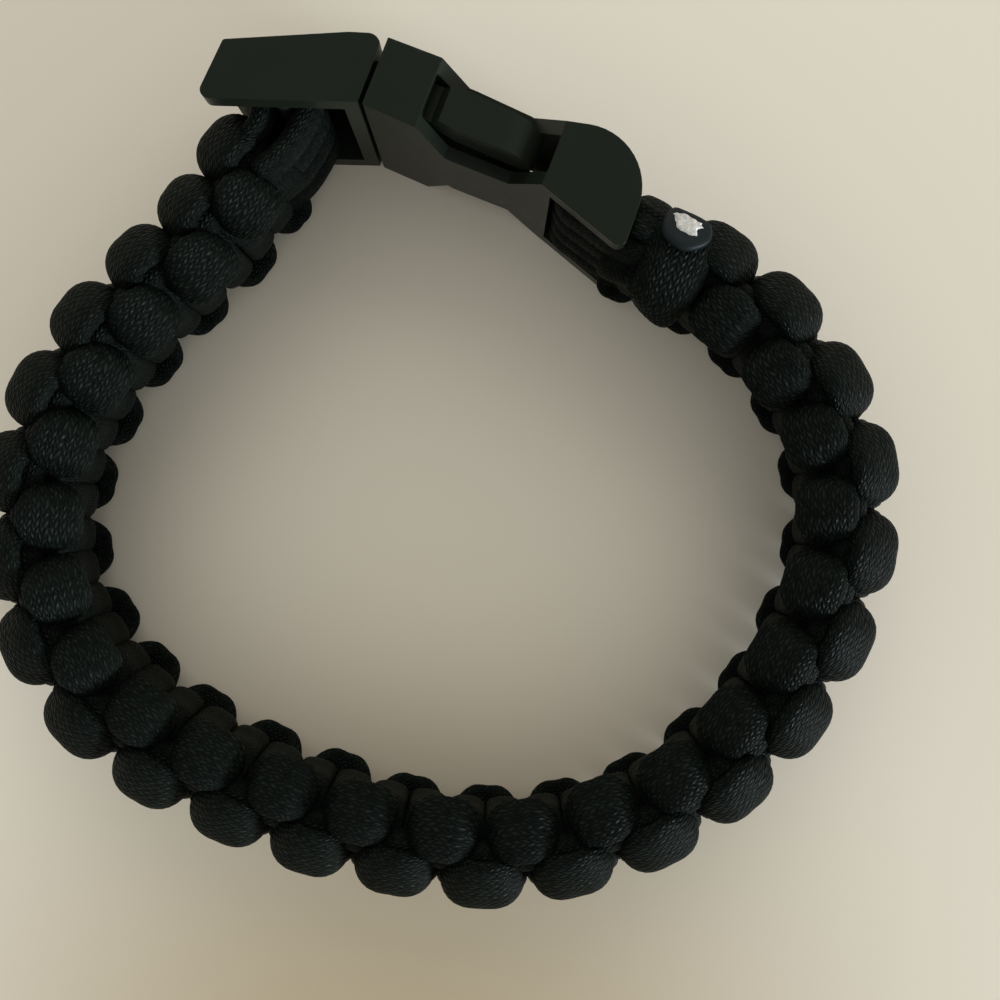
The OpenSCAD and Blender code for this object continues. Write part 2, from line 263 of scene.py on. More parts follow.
def new_material(name: str) -> tuple[bpy.types.Material, NodeSketch, bpy.types.Node]:
    """Start a material.

    Args:
        name: Name of the material.

    Returns:
        The material, a sketch on its tree and its shader node.
    """
    material = bpy.data.materials.new(name)
    material.use_nodes = True
    sketch = NodeSketch(material.node_tree)
    return material, sketch, material.node_tree.nodes["Principled BSDF"]


def tone_between(sketch: NodeSketch, share: object, low: object,
                 high: object) -> bpy.types.NodeSocket:
    """Colour between two tones.

    Args:
        sketch: Tree that the node goes to.
        share: 0 for the low tone, 1 for the high one.
        low: Red, green and blue of the low tone, or a socket with it.
        high: Red, green and blue of the high tone, or a socket with it.

    Returns:
        Socket with the colour.
    """
    node = sketch.add("ShaderNodeMix", data_type="RGBA")
    sketch.feed(node.inputs["Factor"], share)
    for name, tone in (("A", low), ("B", high)):
        colour = (*tone, 1.0) if isinstance(tone, tuple) else tone
        sketch.feed(NodeSketch.socket(node.inputs, name), colour)
    return NodeSketch.socket(node.outputs, "Result")


def object_noise(sketch: NodeSketch, per_metre: float, detail: float = 2.0) -> bpy.types.NodeSocket:
    """Noise on the piece's own coordinates.

    Args:
        sketch: Tree that the nodes go to.
        per_metre: Grains in a metre.
        detail: Finer layers of noise.

    Returns:
        Socket with the noise.
    """
    place = sketch.add("ShaderNodeTexCoord").outputs["Object"]
    feeds = {"Vector": place, "Scale": per_metre, "Detail": detail}
    return sketch.add("ShaderNodeTexNoise", feeds).outputs["Fac"]


@dataclass(frozen=True)
class BraidedSheath:
    """Black braided nylon, with a faint gleam on the crests of its stitches, painted highlight on
    them and painted shade in the valleys.
    """

    braid: Braid = Braid()
    # Colours of the valleys, darkened as painted shade, and of the crests, lightened as painted
    # highlight.
    valley: tuple[float, float, float] = (0.0018, 0.0030, 0.0021)
    crest: tuple[float, float, float] = (0.0122, 0.0166, 0.0132)
    patches: float = 1500.0
    patch_range: tuple[float, float] = (0.36, 0.66)
    roughness: tuple[float, float] = (0.66, 0.25)
    specular: float = 0.045
    bump: float = 0.9
    depth: float = 0.16
    grains: float = 9000.0
    yarn: float = 0.10

    def material(self) -> bpy.types.Material:
        """Make the material, which reads the sheath's own map.

        Returns:
            The material.
        """
        material, sketch, shader = new_material("braided_nylon")
        place = sketch.add("ShaderNodeUVMap", uv_map="UVMap").outputs["UV"]
        parts = sketch.add("ShaderNodeSeparateXYZ", {"Vector": place})
        share = sketch.add("ShaderNodeAttribute", attribute_name=RELIEF_SHARE).outputs["Fac"]
        stitches = self.braid.height(sketch, parts.outputs["X"], parts.outputs["Y"])
        height = sketch.math("MULTIPLY", stitches, share)
        # Painted highlight on the stitch crests and painted shade in the valleys, patchy at random.
        patchy = sketch.share(object_noise(sketch, self.patches), self.patch_range)
        painted_crest_light = sketch.math("MULTIPLY", patchy, height)
        tone = tone_between(sketch, painted_crest_light, self.valley, self.crest)
        sketch.feed(shader.inputs["Base Color"], tone)
        low, high = self.roughness
        rough = sketch.math("MULTIPLY_ADD", height, high - low, low)
        sketch.feed(shader.inputs["Roughness"], rough)
        grain = object_noise(sketch, self.grains)
        yarns = sketch.math("MULTIPLY_ADD", grain, self.yarn, height)
        sketch.relief(shader, yarns, self.bump, self.depth)
        shader.inputs["Specular IOR Level"].default_value = self.specular
        return material


@dataclass(frozen=True)
class MouldedPlastic:
    """Black acetal with a satin moulded skin and faint handling marks."""

    base: tuple[float, float, float] = (0.0080, 0.0105, 0.0072)
    worn: tuple[float, float, float] = (0.0105, 0.0132, 0.0092)
    scuffed: tuple[float, float, float] = (0.045, 0.048, 0.044)
    clouds: tuple[float, float] = (160.0, 4.0)
    scuffs: tuple[float, float] = (330.0, 6.0)
    scuff_range: tuple[float, float] = (0.69, 0.74)
    grains: float = 5200.0
    roughness: tuple[float, float] = (0.24, 0.33)
    specular: float = 0.08
    bump: float = 0.10
    depth: float = 0.03

    def material(self) -> bpy.types.Material:
        """Make the material, which reads the piece's own coordinates.

        Returns:
            The material.
        """
        material, sketch, shader = new_material("satin_acetal")
        cloud = object_noise(sketch, *self.clouds)
        grain = object_noise(sketch, self.grains)
        scuff = sketch.share(object_noise(sketch, *self.scuffs), self.scuff_range)
        skin = tone_between(sketch, cloud, self.base, self.worn)
        sketch.feed(shader.inputs["Base Color"], tone_between(sketch, scuff, skin, self.scuffed))
        low, high = self.roughness
        sketch.feed(shader.inputs["Roughness"], sketch.math("MULTIPLY_ADD", cloud, high - low, low))
        shader.inputs["Specular IOR Level"].default_value = self.specular
        sketch.relief(shader, grain, self.bump, self.depth)
        return material


@dataclass(frozen=True)
class MeltedNylon:
    """Nylon melted to a smooth dark skin, or scuffed to a pale chalky flake."""

    name: str = "melted_nylon"
    low: tuple[float, float, float] = (0.005, 0.0078, 0.0083)
    high: tuple[float, float, float] = (0.009, 0.0125, 0.013)
    grains: float = 700.0
    roughness: float = 0.50
    bump: float = 0.25
    specular: float = 0.10
    detail: float = 4.0
    depth: float = 0.2

    def material(self) -> bpy.types.Material:
        """Make the material, which reads the piece's own coordinates.

        Returns:
            The material.
        """
        material, sketch, shader = new_material(self.name)
        cloud = object_noise(sketch, self.grains, self.detail)
        sketch.feed(shader.inputs["Base Color"], tone_between(sketch, cloud, self.low, self.high))
        shader.inputs["Roughness"].default_value = self.roughness
        shader.inputs["Specular IOR Level"].default_value = self.specular
        sketch.relief(shader, cloud, self.bump, self.depth)
        return material


@dataclass(frozen=True)
class TableTop:
    """Pale matt table with a painted shadow: darker and warmer round one spot."""

    # Tones of the painted shadow at the spot and of the open table.
    low: tuple[float, float, float] = (0.45, 0.36, 0.23)
    high: tuple[float, float, float] = (0.700, 0.632, 0.526)
    spot: tuple[float, float, float] = (-0.006, -0.080, 0.0)
    reach: tuple[float, float] = (0.015, 0.085)
    cloudy: float = 0.010
    clouds: float = 9.0
    roughness: float = 0.6

    def material(self) -> bpy.types.Material:
        """Make the material, which reads the table's own coordinates.

        Returns:
            The material.
        """
        material, sketch, shader = new_material("pale_table")
        place = sketch.add("ShaderNodeTexCoord").outputs["Object"]
        feeds = {0: place, 1: self.spot}
        away = sketch.add("ShaderNodeVectorMath", feeds, operation="DISTANCE").outputs["Value"]
        # Painted shadow: darker and warmer nearer the spot, with a cloudy soft edge.
        cloud = sketch.math("MULTIPLY_ADD", object_noise(sketch, self.clouds), self.cloudy, away)
        share = sketch.share(cloud, self.reach, interpolation_type="SMOOTHSTEP")
        sketch.feed(shader.inputs["Base Color"], tone_between(sketch, share, self.low, self.high))
        shader.inputs["Roughness"].default_value = self.roughness
        return material


@dataclass
class LoopPath:
    """Path of the band's middle line from above, clockwise from the socket to the prong half.

    Each row of the three tables is one bearing step. It gives the distance from the centre as
    a share of the radius, the share of the band's lean, and how long its knots are drawn out.
    The outer cord's first bight at the upper edge stands at so many half knots, and at so many
    knots of the band. Past the ends of the band a knot takes the end step.
    """

    radius: float = 40.0
    centre: tuple[float, float] = (1.796, -3.068)
    start_bearing: float = 62.0
    bearing_step: float = 18.0
    steps_per_row: int = 8
    lean: float = 5.0
    band_width: float = 20.2
    band_thickness: float = 10.0
    socket_reach: float = 3.0
    prong_reach: float = 0.6
    knots: float = 24.5
    first_bight: float = 1.5
    first_bight_knots: float = 0.51
    end_step: float = 2.0
    look: float = 1.0
    radius_shares: tuple[float, ...] = (
        0.858, 0.913, 0.991, 1.049, 1.047, 1.016, 0.994, 0.970, 0.938,
        0.909, 0.924, 0.989, 1.097, 1.153, 1.123, 1.051, 1.005, 1.095)
    lean_shares: tuple[float, ...] = (
        0.0, 0.4, 0.7, 0.7, 0.9, 0.9, 0.8, 0.9, 0.5,
        0.4, -0.1, -0.5, -0.5, 0.4, 0.2, 0.2, 0.1, 0.0)
    stretch: tuple[float, ...] = (
        1.03, 0.98, 1.00, 1.02, 1.04, 1.06, 1.06, 1.06, 1.06,
        1.04, 1.02, 1.01, 1.00, 1.01, 0.99, 0.95, 0.89, 0.80)
    rows: np.ndarray = field(init=False)
    run: np.ndarray = field(init=False)
    ease: np.ndarray = field(init=False)

    def __post_init__(self) -> None:
        """Measure the path along its rows."""
        count = (len(self.radius_shares) - 1) * self.steps_per_row
        self.rows = np.arange(count + 1) / self.steps_per_row
        self.run = run_along(self.row_point(self.rows))
        eased = np.diff(self.run) / smooth_column(np.array(self.stretch), self.rows)[:-1]
        self.ease = np.concatenate(([0.0], np.cumsum(eased)))

    @property
    def band_from(self) -> float:
        """Run at the band's first knot."""
        return self.socket_reach

    @property
    def band_to(self) -> float:
        """Run at the band's last knot."""
        return self.run[-1] - self.prong_reach

    def row_point(self, rows: np.ndarray) -> np.ndarray:
        """Points of the path.

        Args:
            rows: Row numbers, which may be broken.

        Returns:
            One point a row.
        """
        bearing = np.radians(self.start_bearing - self.bearing_step * rows)
        reach = self.radius * smooth_column(np.array(self.radius_shares), rows)
        way = np.stack((np.cos(bearing), np.sin(bearing)), 1)
        return np.array(self.centre) + reach[:, None] * way

    def at(self, run: np.ndarray) -> np.ndarray:
        """Points of the path at those distances along it."""
        return self.row_point(np.interp(run, self.run, self.rows))

    def along(self, run: np.ndarray) -> np.ndarray:
        """Directions of the path at those distances along it."""
        ahead = self.at(np.minimum(run + self.look, self.run[-1]))
        return unit(ahead - self.at(np.maximum(run - self.look, 0)))

    def outward(self, run: np.ndarray) -> np.ndarray:
        """Directions away from the wrist at those distances along the path."""
        along = self.along(run)
        return np.stack((-along[:, 1], along[:, 0]), 1)

    def knot_place(self, knots: np.ndarray) -> np.ndarray:
        """Distances along the path where so many knots have passed."""
        first, last = np.interp([self.band_from, self.band_to], self.run, self.ease)
        return np.interp(first + (last - first) * knots / self.knots, self.ease, self.run)

    def half_knot_place(self, half_knots: np.ndarray) -> np.ndarray:
        """Distances along the path of the weave's half knots, kept close to the band.

        Args:
            half_knots: Half knots passed, which may be broken.

        Returns:
            One distance for each.
        """
        knots = self.first_bight_knots + (half_knots - self.first_bight) / 2
        kept = np.clip(knots, 0, self.knots)
        return self.knot_place(kept) + self.end_step * (knots - kept)

    def point(self, run: np.ndarray, out: np.ndarray, rise: np.ndarray) -> np.ndarray:
        """Points of the band.

        Args:
            run: Distances along the band.
            out: Distances away from the wrist, from the band's middle.
            rise: Heights above the band's middle.

        Returns:
            One point a row.
        """
        rows = np.interp(run, self.run, self.rows)
        leaned = np.radians(smooth_column(np.array(self.lean_shares), rows) * self.lean)
        flat = self.at(run) + (out - rise * np.tan(leaned))[:, None] * self.outward(run)
        return np.column_stack((flat, self.band_width / 2 + rise))


@dataclass
class CordCourse:
    """Centre line of a cord with the flattened section that it carries, in millimetres.

    The relief share is 1 where the stitches stand open, and less where they are pulled tight.
    Its width, thickness and relief are one number each where they stay the same.
    """

    centre: np.ndarray
    facing: np.ndarray
    wide: np.ndarray | float
    thick: np.ndarray | float
    relief: np.ndarray | float = 1.0
    spacing: float = 0.425
    cap: float = 1.3
    bend_care: float = 4.0

    def evened(self) -> "CordCourse":
        """Space out the rings, closer in the bends, and round both ends over.

        Returns:
            The new course.
        """
        run = run_along(self.centre)
        turned = run_along(unit(np.gradient(self.centre, axis=0)))
        need = run + self.bend_care * turned
        wanted = np.interp(np.linspace(0.0, need[-1], int(run[-1] / self.spacing)), need, run)
        section = [np.full(len(run), size) for size in (self.wide, self.thick, self.relief)]
        columns = np.column_stack((self.centre, self.facing, *section))
        read = np.stack([np.interp(wanted, run, column) for column in columns.T], 1)
        from_end = np.minimum(wanted, wanted[-1] - wanted) / self.cap
        closing = np.sqrt(np.clip(1 - (1 - np.clip(from_end, 0, 1)) ** 2, 0, 1))
        wide, thick = (read[:, 6:8] * closing[:, None]).T
        return CordCourse(read[:, :3], read[:, 3:6], wide, thick, read[:, 8])

    def polyline(self, name: str, start_run: float = 0.0) -> bpy.types.Object:
        """Mesh line of the course, with the section's frame and sizes on its points.

        Args:
            name: Name of the object.
            start_run: Length of cord that came before this course.

        Returns:
            The new object.
        """
        ahead = unit(np.gradient(self.centre, axis=0))
        side = unit(np.cross(ahead, self.facing))
        run = start_run + run_along(self.centre)
        mesh = bpy.data.meshes.new(name)
        edges = [(i, i + 1) for i in range(len(self.centre) - 1)]
        mesh.from_pydata((self.centre * MM).tolist(), edges, [])
        for label, values in zip(("side", "up"), (side, np.cross(side, ahead))):
            attribute = mesh.attributes.new(label, "FLOAT_VECTOR", "POINT")
            attribute.data.foreach_set("vector", values.ravel())
        numbers = (self.wide * MM, self.thick * MM, run * MM, self.relief)
        for label, values in zip(COURSE_NUMBERS, numbers):
            mesh.attributes.new(label, "FLOAT", "POINT").data.foreach_set("value", values)
        return placed(name, mesh)


class SheathSweep:
    """Sweeps a braided sheath along a cord's course by Geometry Nodes."""

    def __init__(self, braid: Braid, finish: bpy.types.Material) -> None:
        """Build the tree once, for all the cords.

        Args:
            braid: Pattern of the sheath.
            finish: Material of the sheath.
        """
        self.braid = braid
        self.finish = finish
        self.tree = bpy.data.node_groups.new("braided_sheath_sweep", "GeometryNodeTree")
        self.sketch = NodeSketch(self.tree)
        self.identifiers: dict[str, str] = {}
        self._build()

    def _input(self, name: str, kind: str) -> None:
        """Declare an input of the tree and keep its identifier."""
        item = self.tree.interface.new_socket(name, in_out="INPUT", socket_type=kind)
        self.identifiers[name] = item.identifier

    def _read(self, name: str, kind: str) -> bpy.types.NodeSocket:
        """Read a named attribute.

        Args:
            name: Name of the attribute.
            kind: Its data type.

        Returns:
            Socket with its value.
        """
        node = self.sketch.add("GeometryNodeInputNamedAttribute", data_type=kind)
        node.inputs["Name"].default_value = name
        return NodeSketch.socket(node.outputs, "Attribute")

    def _store(self, source: object, name: str, kind: str, domain: str, value: object) -> object:
        """Store a named attribute on a geometry.

        Args:
            source: Socket with the geometry.
            name: Name of the attribute.
            kind: Its data type.
            domain: Part of the geometry that carries it.
            value: Socket with its value.

        Returns:
            Socket with the geometry that has it.
        """
        node = self.sketch.add("GeometryNodeStoreNamedAttribute", data_type=kind, domain=domain)
        self.sketch.feed(node.inputs["Geometry"], source)
        node.inputs["Name"].default_value = name
        self.sketch.feed(NodeSketch.socket(node.inputs, "Value"), value)
        return node.outputs["Geometry"]

    def _through(self, kind: str, source: object, **feeds: object) -> object:
        """Lead a geometry through a node of that kind and return what comes out."""
        feeds = {"Geometry": source, **feeds}
        return self.sketch.add(f"GeometryNode{kind}", feeds).outputs["Geometry"]

    def _build(self) -> None:
        """Fill the tree: rings on the course, stitches on the rings, a map, and the finish."""
        sketch = self.sketch
        for name, kind in (("Course", "Geometry"), ("Around", "Int"), ("Relief", "Float"),
                           ("Fullness", "Float"), ("Finish", "Material")):
            self._input(name, f"NodeSocket{kind}")
        self.tree.interface.new_socket("Sheath", in_out="OUTPUT", socket_type="NodeSocketGeometry")
        given = sketch.add("NodeGroupInput").outputs
        line = sketch.add("GeometryNodeMeshToCurve", {"Mesh": given["Course"]}).outputs["Curve"]
        place = sketch.add("GeometryNodeInputPosition").outputs[0]
        line = self._store(line, "centre", "FLOAT_VECTOR", "POINT", place)
        count = sketch.math("ADD", given["Around"], 1.0)
        ring = sketch.add("GeometryNodeMeshLine", {"Count": count}).outputs["Mesh"]
        ring = sketch.add("GeometryNodeMeshToCurve", {"Mesh": ring}).outputs["Curve"]
        index = sketch.add("GeometryNodeInputIndex").outputs[0]
        share = sketch.math("DIVIDE", index, given["Around"])
        ring = self._store(ring, "turn", "FLOAT", "POINT", share)
        feeds = {"Curve": line, "Profile Curve": ring}
        swept = sketch.add("GeometryNodeCurveToMesh", feeds).outputs["Mesh"]
        turn = self._read("turn", "FLOAT")
        run = self._read("run", "FLOAT")
        gathered = sketch.math("SINE", sketch.math("MULTIPLY", turn, 2 * math.tau))
        angle = sketch.math("MULTIPLY", turn, math.tau)
        angle = sketch.math("MULTIPLY_ADD", gathered, self.braid.gather, angle)
        offset = None
        for way, wave, size in (("side", "COSINE", "wide"), ("up", "SINE", "thick")):
            reach = sketch.math("MULTIPLY", self._read(size, "FLOAT"), 0.5)
            swing = sketch.math(wave, angle)
            full = sketch.math("POWER", sketch.math("ABSOLUTE", swing), given["Fullness"])
            full = sketch.math("MULTIPLY", full, sketch.math("SIGN", swing))
            length = sketch.math("MULTIPLY", full, reach)
            part = sketch.scaled(self._read(way, "FLOAT_VECTOR"), length)
            offset = part if offset is None else sketch.vector("ADD", offset, part)
        height = sketch.math("SUBTRACT", self.braid.height(sketch, turn, run), 0.5)
        height = sketch.math("MULTIPLY", height, given["Relief"])
        proud = sketch.scaled(sketch.vector("NORMALIZE", offset), height)
        offset = sketch.vector("ADD", offset, proud)
        spot = sketch.vector("ADD", self._read("centre", "FLOAT_VECTOR"), offset)
        swept = self._through("SetPosition", swept, Position=spot)
        spread = sketch.add("ShaderNodeCombineXYZ", {"X": turn, "Y": run}).outputs["Vector"]
        swept = self._store(swept, "UVMap", "FLOAT2", "CORNER", spread)
        swept = self._through("MergeByDistance", swept, Distance=SEAM_WELD * MM)
        swept = self._through("SetShadeSmooth", swept)
        swept = self._through("RealizeInstances", swept)
        swept = self._through("SetMaterial", swept, Material=given["Finish"])
        sketch.add("NodeGroupOutput", {0: swept})

    def sweep(self, name: str, course: CordCourse, start_run: float = 0.0) -> bpy.types.Object:
        """Make one stretch of cord.

        Args:
            name: Name of the piece.
            course: Course of the cord.
            start_run: Length of cord that came before, so that the braid runs on.

        Returns:
            The piece, a plain mesh.
        """
        piece = course.polyline(name, start_run)
        modifier = piece.modifiers.new("sheath", "NODES")
        modifier.node_group = self.tree
        values = {"Around": self.braid.sides, "Relief": self.braid.relief * MM,
                  "Fullness": self.braid.fullness, "Finish": self.finish}
        for label, value in values.items():
            modifier[self.identifiers[label]] = value
        return made_plain(piece)


def made_plain(piece: bpy.types.Object) -> bpy.types.Object:
    """Turn a piece with modifiers into a plain mesh with its faces outwards.

    Args:
        piece: Object with modifiers.

    Returns:
        The same object, without them.
    """
    depsgraph = bpy.context.evaluated_depsgraph_get()
    mesh = bpy.data.meshes.new_from_object(piece.evaluated_get(depsgraph), depsgraph=depsgraph)
    piece.modifiers.clear()
    unfinished = piece.data
    piece.data = mesh
    bpy.data.meshes.remove(unfinished)
    mesh.name = piece.name
    shell = bmesh.new()
    shell.from_mesh(mesh)
    bmesh.ops.recalc_face_normals(shell, faces=shell.faces)
    if shell.calc_volume(signed=True) < 0:
        bmesh.ops.reverse_faces(shell, faces=shell.faces)
    shell.to_mesh(mesh)
    shell.free()
    for label in ("side", "up", "turn", "centre", *COURSE_NUMBERS[:-1]):
        if label in mesh.attributes:
            mesh.attributes.remove(mesh.attributes[label])
    return piece


def dressed(piece: bpy.types.Object, slot: Slot, *nodes: str) -> None:
    """Let a finished piece ride and stand for its solids.

    Args:
        piece: The finished piece.
        slot: Material slot of the record; not used.
        nodes: Solids that the piece stands for.
    """
    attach(piece, BODY)
    if nodes:
        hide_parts(*nodes)


@dataclass
class CobraWeave:
    """The two working cords, knotted round the core strands, and the core strands themselves.

    Each row of a route goes from the middle of a leg to the top of the bight after it: half
    knots passed, height towards the edge, distance towards the cord's own face, angle of the
    flat side from that face towards the edge, how far that side looks back along the band,
    width and thickness. The play of a bight is along, out, up and in its width.

    Each cord is made in two halves, which run past the middle by the overlap. One bight is
    covered by the cut tail and stays lower.
    """

    path: LoopPath
    sweep: SheathSweep
    half_knots: int = 49
    seed: int = 7
    steps_per_row: int = 16
    overlap: int = 12
    leg_route: tuple[tuple[float, ...], ...] = (
        (0.00, 0.0, 3.10, 0, 0.0, 4.6, 2.5),
        (0.00, 3.0, 3.10, 5, 0.0, 4.5, 2.5),
        (0.06, 4.5, 2.20, 35, 0.0, 4.2, 2.6),
        (0.08, 5.2, 0.60, 60, 0.8, 3.9, 2.8))
    inner_bight: tuple[tuple[float, ...], ...] = (
        (-0.02, 6.1, -1.50, 88, 3.0, 4.7, 3.0),
        (-0.01, 7.2, -2.45, 100, 1.5, 6.0, 2.7),
        (0.17, 7.95, -3.00, 108, 0.4, 7.2, 2.4),
        (0.50, 8.15, -3.10, 111, 0.0, 7.2, 2.3))
    outer_bight: tuple[tuple[float, ...], ...] = (
        (-0.12, 5.6, -1.35, 90, 3.0, 4.3, 3.0),
        (-0.05, 6.4, -2.15, 112, 1.5, 5.5, 2.9),
        (0.15, 7.1, -2.60, 123, 0.5, 6.0, 2.7),
        (0.50, 7.4, -2.70, 127, 0.0, 6.3, 2.5))
    tight_widths: tuple[float, float] = (4.7, 5.9)
    tight_relief: tuple[float, float] = (0.6, 1.0)
    low_draw: float = 1.6
    first_draw: float = 1.0
    covered: int = 1
    covered_rise: float = 0.84
    play: tuple[float, float, float, float] = (0.04, 0.18, 0.15, 0.04)
    core_rises: tuple[float, ...] = (-5.6, -1.87, 1.87, 5.6)
    core_width: float = 4.0
    core_thickness: float = 3.3
    core_step: float = 0.8
    core_spacing: float = 2.4

    def _rows(self, cord: WorkingCord) -> np.ndarray:
        """Lay out the whole route of one cord.

        Args:
            cord: Which of the two.

        Returns:
            Rows of half knots passed, out, rise, facing (fore, outwards, upwards), width and
            thickness.
        """
        rng = np.random.default_rng(self.seed + cord.value)
        bight = self.inner_bight if cord is WorkingCord.OUTER else self.outer_bight
        route = self.leg_route + bight
        top = route[-1][1]
        rows = []
        for k in range(self.half_knots):
            edge = -cord.value * (1 if k % 2 == 0 else -1)
            play = rng.uniform(-1, 1, 4) * self.play
            there = route if k == 0 else route[1:]
            way = [(row, False) for row in there] + [(row, True) for row in route[-2::-1]]
            for row, back in way:
                passed, rise, out, turn, behind, width, thickness = row
                free = rise / top
                if k == self.covered and cord is WorkingCord.OUTER:
                    rise *= 1 - (1 - self.covered_rise) * free
                place = (k + 1 - passed if back else k + passed) + play[0] * free
                drawn = self._drawn(cord, k, edge)
                out = cord.value * (out + (play[1] + drawn) * free)
                rise = edge * (rise + play[2] * free)
                fore = behind if back else -behind
                outwards = cord.value * math.cos(math.radians(turn))
                upwards = edge * math.sin(math.radians(turn))
                width *= 1 + play[3] * free
                rows.append((place, out, rise, fore, outwards, upwards, width, thickness))
        return np.array(rows)

    def _drawn(self, cord: WorkingCord, k: int, edge: int) -> float:
        """How far a bight is drawn towards the middle of the band.

        Args:
            cord: Which of the two.
            k: Number of the bight.
            edge: 1 for the upper edge of the band, -1 for the lower one.

        Returns:
            The distance.
        """
        if cord is WorkingCord.OUTER:
            return self.low_draw if edge < 0 else 0.0
        return self.first_draw if k == 0 else 0.0

    def course(self, cord: WorkingCord) -> CordCourse:
        """Course of one working cord.

        Args:
            cord: Which of the two.

        Returns:
            The dense course, before its rings are evened.
        """
        rows = self._rows(cord)
        rows[:, 0] = self.path.half_knot_place(rows[:, 0])
        steps = np.linalg.norm(np.diff(rows[:, :3], axis=0), axis=1)
        places = np.concatenate(([0.0], np.cumsum(np.sqrt(steps))))
        count = np.arange((len(rows) - 1) * self.steps_per_row + 1)
        wanted = np.interp(count / self.steps_per_row, np.arange(len(rows)), places)
        dense = smooth_through(places, rows, wanted)
        run, out, rise, fore, outwards, upwards, width, thickness = dense.T
        centre = self.path.point(run, out, rise)
        still = np.zeros(len(run))
        along = np.column_stack((self.path.along(run), still))
        outward = np.column_stack((self.path.outward(run), still))
        facing = fore[:, None] * along + outwards[:, None] * outward + upwards[:, None] * UP
        spread = 1 + out / self.path.radius
        relief = np.interp(width, self.tight_widths, self.tight_relief)
        return CordCourse(centre, facing, width * spread, thickness, relief)

    def build(self) -> list[bpy.types.Object]:
        """Make all the pieces of the band.

        Returns:
            The pieces.
        """
        pieces = []
        for cord, name in ((WorkingCord.OUTER, "outer"), (WorkingCord.INNER, "inner")):
            course = self.course(cord)
            middle = len(course.centre) // 2
            halves = (("socket_side", slice(0, middle + self.overlap)),
                      ("prong_side", slice(middle - self.overlap, None)))
            for label, part in halves:
                stretch = CordCourse(course.centre[part], course.facing[part], course.wide[part],
                                     course.thick[part], course.relief[part])
                pieces.append(self.sweep.sweep(f"{name}_cord_{label}", stretch.evened()))
        pieces += self._core()
        for piece in pieces:
            dressed(piece, Slot.CORD, "woven_band")
        return pieces

    def _core(self) -> list[bpy.types.Object]:
        """Make the straight strands inside the knots.

        Returns:
            The strands.
        """
        run = np.arange(self.path.band_from, self.path.band_to, self.core_step)
        still = np.zeros(len(run))
        outward = np.column_stack((self.path.outward(run), still))
        strands = []
        for i, rise in enumerate(self.core_rises):
            course = CordCourse(self.path.point(run, still, still + rise), outward,
                                self.core_width, self.core_thickness, spacing=self.core_spacing)
            strands.append(self.sweep.sweep(f"core_strand_{i + 1}", course.evened()))
        return strands


@dataclass
class BarWraps:
    """The strands that leave one end of the band, go round a bar of the buckle and come back."""

    path: LoopPath
    sweep: SheathSweep
    end: BandEnd
    bar: tuple[float, float]
    strands: int = 4
    width: float = 4.1
    thickness: float = 2.6
    buckle_width: float = 21.5
    bar_diameter: float = 2.2
    leg_out: float = 2.0
    leg_inside: float = 4.0
    leg_gap: float = 0.3
    tuck_share: float = 0.75
    bar_gap: float = 0.1
    bar_turn: tuple[float, float] = (78.0, 282.0)
    bar_points: int = 13
    braid_shift: float = 3.7
    dense: int = 160

    def _plan(self) -> np.ndarray:
        """Lay out one wrap.

        Returns:
            Its points, seen from above.
        """
        away = self.end.value
        run = np.array([self.path.band_to if self.end is BandEnd.PRONG else self.path.band_from])
        along, outward = self.path.along(run)[0], self.path.outward(run)[0]
        face = self.path.at(run)[0] + away * self.leg_gap * along
        inside = self.path.at(run - away * self.leg_inside)[0]
        bar = np.array(self.bar)
        heading = math.atan2(face[1] - bar[1], face[0] - bar[0])
        angles = heading + np.radians(np.linspace(*self.bar_turn, self.bar_points))
        radius = (self.bar_diameter + self.thickness) / 2 + self.bar_gap
        turn = bar + radius * np.stack((np.cos(angles), np.sin(angles)), 1)
        leg = -away * self.leg_out * outward
        tuck = self.tuck_share * leg
        return np.vstack((inside + tuck, face + leg, turn, face - leg, inside - tuck))

    def build(self) -> list[bpy.types.Object]:
        """Make the wraps as one piece.

        Returns:
            The piece, in a list.
        """
        plan = self._plan()
        places = run_along(plan)
        flat = smooth_through(places, plan, np.linspace(0, places[-1], self.dense))
        still = np.zeros(len(flat))
        ahead = unit(np.gradient(flat, axis=0))
        facing = np.column_stack((-ahead[:, 1], ahead[:, 0], still))
        side = self.end.name.lower()
        wraps = []
        for i in range(self.strands):
            rise = self.buckle_width / 2 + (i - (self.strands - 1) / 2) * self.width
            course = CordCourse(np.column_stack((flat, still + rise)), facing, self.width,
                                self.thickness).evened()
            wraps.append(self.sweep.sweep(f"{side}_wraps_{i + 1}", course, self.braid_shift * i))
        piece = joined(f"{side}_wraps", wraps)
        dressed(piece, Slot.CORD, f"{side}_cord_loop")
        return [piece]


def joined(name: str, pieces: list[bpy.types.Object]) -> bpy.types.Object:
    """Join plain meshes into one piece.

    Args:
        name: Name of the piece.
        pieces: Plain mesh objects.

    Returns:
        The first of them, which now holds all.
    """
    with bpy.context.temp_override(active_object=pieces[0], object=pieces[0],
                                   selected_objects=pieces, selected_editable_objects=pieces):
        bpy.ops.object.join()
    pieces[0].name = name
    pieces[0].data.name = name
    return pieces[0]


